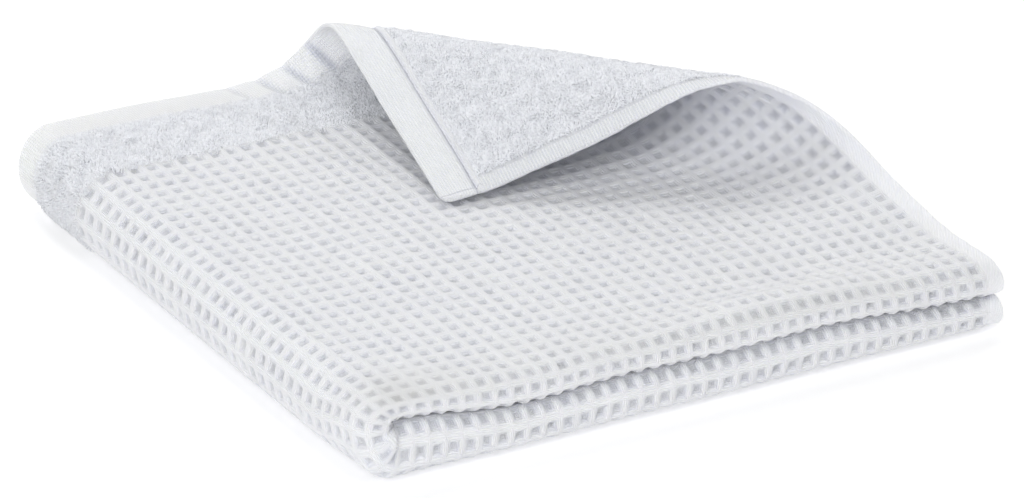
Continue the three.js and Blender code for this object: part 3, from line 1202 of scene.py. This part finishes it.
class TOWEL_OT_inner_terry(bpy.types.Operator):
    """Terry loops on the second layer, where the turned corner bares it"""

    bl_idname = "towel.inner_terry"
    bl_label = "Terry of the second layer"

    def execute(self, context):
        size = context.scene.towel
        far = size.cloth_length - size.hem_depth - LOOPS_FROM_HEM
        region = ((far - 0.27, far), (size.selvedge + LOOPS_FROM_SELVEDGE, 0.24))

        def keep(cloth, along, across):
            """Under the roll and behind it."""
            y = along - cloth.starts[6] + cloth.front
            return crease_degrees(cloth.right - across, y) > ROLL_FOOT + 0.6

        terry_piece(context, "inner_terry", -1, 0.00110, region, keep, SEED_INNER)
        return {"FINISHED"}


class TOWEL_OT_band_terry(bpy.types.Operator):
    """Terry loops of the band between the hem and the waffle, over the top and the side"""

    bl_idname = "towel.band_terry"
    bl_label = "Terry band"

    def execute(self, context):
        size = context.scene.towel
        region = ((size.hem_depth - 0.001, size.band_end + 0.003), (0.095, 0.385))

        def keep(cloth, along, across):
            """Between two ragged lines, and off the floor."""
            ragged = 0.0015 * soft_noise(along, across, 0.005, SEED_RAGGED)
            past_hem = along > size.hem_depth + 0.0006 + ragged
            in_band = past_hem & (along < size.band_end + 0.0012 + ragged)
            return in_band & (cloth.place(along, across, cloth.skin)[:, 2] > 0.0026)

        terry_piece(context, "band_terry", 1, 0.00090, region, keep, SEED_BAND)
        return {"FINISHED"}


STITCH_RINGS = 4
STITCH_SIDES = 4
STITCH_RADIUS = 0.00036
STITCH_ARCH = 0.00012
STITCH_REACH = 0.48
STITCH_FULLNESS = 0.6
STITCH_WANDER = 0.00012
STITCHES_FROM_EDGE = 0.003
STITCHES_IN_HEM = 0.0013


class TOWEL_OT_hem_stitches(bpy.types.Operator):
    """Rows of stitches that hold down both hems, on both sides of the cloth"""

    bl_idname = "towel.hem_stitches"
    bl_label = "Hem stitches"

    def execute(self, context):
        size = context.scene.towel
        cloth = FoldedCloth(size)
        across = np.arange(
            STITCHES_FROM_EDGE, cloth.width - STITCHES_FROM_EDGE, size.stitch_length
        )
        inset = size.hem_depth - STITCHES_IN_HEM
        dice = np.random.default_rng(SEED_STITCHES)
        points, fans, bands = [], [], []
        count = 0
        for row in (inset, cloth.length - inset):
            for side, level in ((-1, UNDER_HEM_LEVEL), (1, HEM_LEVEL)):
                along = row + dice.uniform(-STITCH_WANDER, STITCH_WANDER, len(across))
                made = stitch_points(cloth, along, across, size.stitch_length, side, level)
                row_fans, row_bands = stitch_faces(len(made), count, side)
                points.append(made.reshape(-1, 3))
                fans.append(row_fans)
                bands.append(row_bands)
                count += len(points[-1])
        material = cotton_material(stitch_cotton, size, 0.00008, through=0.0)
        dress(new_object(
            "hem_stitches", np.concatenate(points),
            [np.concatenate(fans), np.concatenate(bands)], [material],
        ))
        return {"FINISHED"}


def stitch_points(cloth, along, across, pitch, side, level):
    """Each stitch is a slim spindle along the hem: radius r times a power of sin t at the
    place cos t, with one point at either end."""
    points = []
    for number in range(STITCH_RINGS + 2):
        turn = math.pi * number / (STITCH_RINGS + 1)
        end = number in (0, STITCH_RINGS + 1)
        radius = 0.0 if end else STITCH_RADIUS * math.sin(turn) ** STITCH_FULLNESS
        run = -STITCH_REACH * pitch * math.cos(turn)
        arch = STITCH_ARCH * math.sin(turn)
        for spin in np.arange(1 if end else STITCH_SIDES) * math.tau / STITCH_SIDES:
            height = side * (level * cloth.skin + arch + radius * math.sin(spin))
            points.append(cloth.place(along + radius * math.cos(spin), across + run, height))
    return np.stack(points, 1)


def stitch_faces(stitches, first, side):
    """Fans at the ends of each spindle and quads between its rings."""
    last = 1 + STITCH_RINGS * STITCH_SIDES
    fans, bands = [], []
    for k in range(STITCH_SIDES):
        after = (k + 1) % STITCH_SIDES
        fans.append((0, 1 + k, 1 + after))
        fans.append((last, last - STITCH_SIDES + after, last - STITCH_SIDES + k))
        for ring in range(STITCH_RINGS - 1):
            low = 1 + STITCH_SIDES * ring
            high = low + STITCH_SIDES
            bands.append((low + after, low + k, high + k, high + after))
    shift = first + (last + 1) * np.arange(stitches)[:, None, None]
    fans = (np.array(fans) + shift).reshape(-1, 3)
    bands = (np.array(bands) + shift).reshape(-1, 4)
    return (fans, bands) if side > 0 else (fans[:, ::-1], bands[:, ::-1])


# Soft lights round the towel, each turned to its middle
LAMPS = (
    # degrees from the front, degrees up, power
    (0, 60, 15.0),
    (45, 30, 8.0),
    (135, 30, 19.0),
    (180, 60, 24.0),
    (225, 30, 12.0),
    (315, 30, 33.0),
)
LAMP_AWAY = 2.5
LAMP_SIZE = 1.3
FLOOR_REACH = 30.0
FLOOR_GAP = 0.0002


def direction(azimuth, elevation):
    """Unit steps towards a place: (sin a cos e, -cos a cos e, sin e)."""
    return (
        math.sin(azimuth) * math.cos(elevation),
        -math.cos(azimuth) * math.cos(elevation),
        math.sin(elevation),
    )


class TOWEL_OT_stage(bpy.types.Operator):
    """Pale floor, soft lights and the camera"""

    bl_idname = "towel.stage"
    bl_label = "Stage"

    def execute(self, context):
        stage = context.scene.towel_stage
        self.floor(stage)
        self.lights(context.scene, stage)
        self.camera(context.scene, stage)
        return {"FINISHED"}

    @staticmethod
    def floor(stage):
        """A wide plain sheet just under the towel."""
        material = bpy.data.materials.new("floor")
        material.use_nodes = True
        shader = material.node_tree.nodes["Principled BSDF"]
        shader.inputs["Base Color"].default_value = (*stage.floor_colour, 1)
        shader.inputs["Roughness"].default_value = 0.9
        shader.inputs["Specular IOR Level"].default_value = 0.1
        shader.inputs["Emission Color"].default_value = (1, 1, 1, 1)
        shader.inputs["Emission Strength"].default_value = stage.floor_glow
        corners = FLOOR_REACH * np.array([(-1, -1, 0), (1, -1, 0), (1, 1, 0), (-1, 1, 0)])
        corners[:, 2] = -FLOOR_GAP
        floor = new_object("floor", corners, [np.array([[0, 1, 2, 3]])], [material], smooth=False)

    @staticmethod
    def lights(scene, stage):
        """A little light from all round, and large soft lights in a ring over the towel."""
        world = bpy.data.worlds.new("studio")
        world.use_nodes = True
        sky = world.node_tree.nodes["Background"]
        sky.inputs["Color"].default_value = (1.0, 1.0, 1.0, 1.0)
        sky.inputs["Strength"].default_value = stage.sky
        scene.world = world
        for azimuth, elevation, power in LAMPS:
            light = bpy.data.lights.new("lamp", "AREA")
            light.energy = power * stage.lamps
            light.shape = "RECTANGLE"
            light.size = light.size_y = LAMP_SIZE
            away = Vector(direction(math.radians(azimuth), math.radians(elevation)))
            item = bpy.data.objects.new("lamp", light)
            item.location = away * LAMP_AWAY
            item.rotation_euler = (-away).to_track_quat("-Z", "Y").to_euler()
            scene.collection.objects.link(item)
        scene.view_settings.view_transform = "Standard"

    @staticmethod
    def camera(scene, stage):
        """A long lens at the picture's angle."""
        camera = bpy.data.cameras.new("camera")
        camera.lens = stage.lens
        camera.sensor_width = 36.0
        camera.clip_end = 60.0
        item = bpy.data.objects.new("camera", camera)
        back = Vector(direction(stage.azimuth, stage.elevation))
        item.location = Vector(stage.aim) + back * stage.distance
        turned = back.to_track_quat("Z", "Y").to_matrix()
        rolled = turned @ Vector((math.sin(stage.roll), math.cos(stage.roll), 0))
        side = rolled.cross(back).normalized()
        item.rotation_euler = Matrix((side, back.cross(side), back)).transposed().to_euler()
        scene.collection.objects.link(item)
        scene.camera = item


class TOWEL_PT_panel(bpy.types.Panel):
    """Lists the towel's pieces and its stage"""

    bl_idname = "TOWEL_PT_panel"
    bl_label = "Folded towel"
    bl_space_type = "VIEW_3D"
    bl_region_type = "UI"
    bl_category = "Towel"

    def draw(self, context):
        column = self.layout.column()
        for operator in OPERATORS:
            column.operator(operator.bl_idname)


OPERATORS = (
    TOWEL_OT_cloth,
    TOWEL_OT_flap_terry,
    TOWEL_OT_roll_terry,
    TOWEL_OT_inner_terry,
    TOWEL_OT_band_terry,
    TOWEL_OT_hem_stitches,
    TOWEL_OT_stage,
)
CLASSES = (TowelSettings, StageSettings, *OPERATORS, TOWEL_PT_panel)


def register():
    """Registers the classes and their settings."""
    for item in CLASSES:
        bpy.utils.register_class(item)
    bpy.types.Scene.towel = bpy.props.PointerProperty(type=TowelSettings)
    bpy.types.Scene.towel_stage = bpy.props.PointerProperty(type=StageSettings)


def unregister():
    """Takes back what register did."""
    del bpy.types.Scene.towel_stage
    del bpy.types.Scene.towel
    for item in reversed(CLASSES):
        bpy.utils.unregister_class(item)


def main():
    """Builds every piece and the stage."""
    register()
    for operator in OPERATORS:
        family, action = operator.bl_idname.split(".")
        getattr(getattr(bpy.ops, family), action)()
    bpy.context.view_layer.update()


if __name__ == "__main__":
    main()
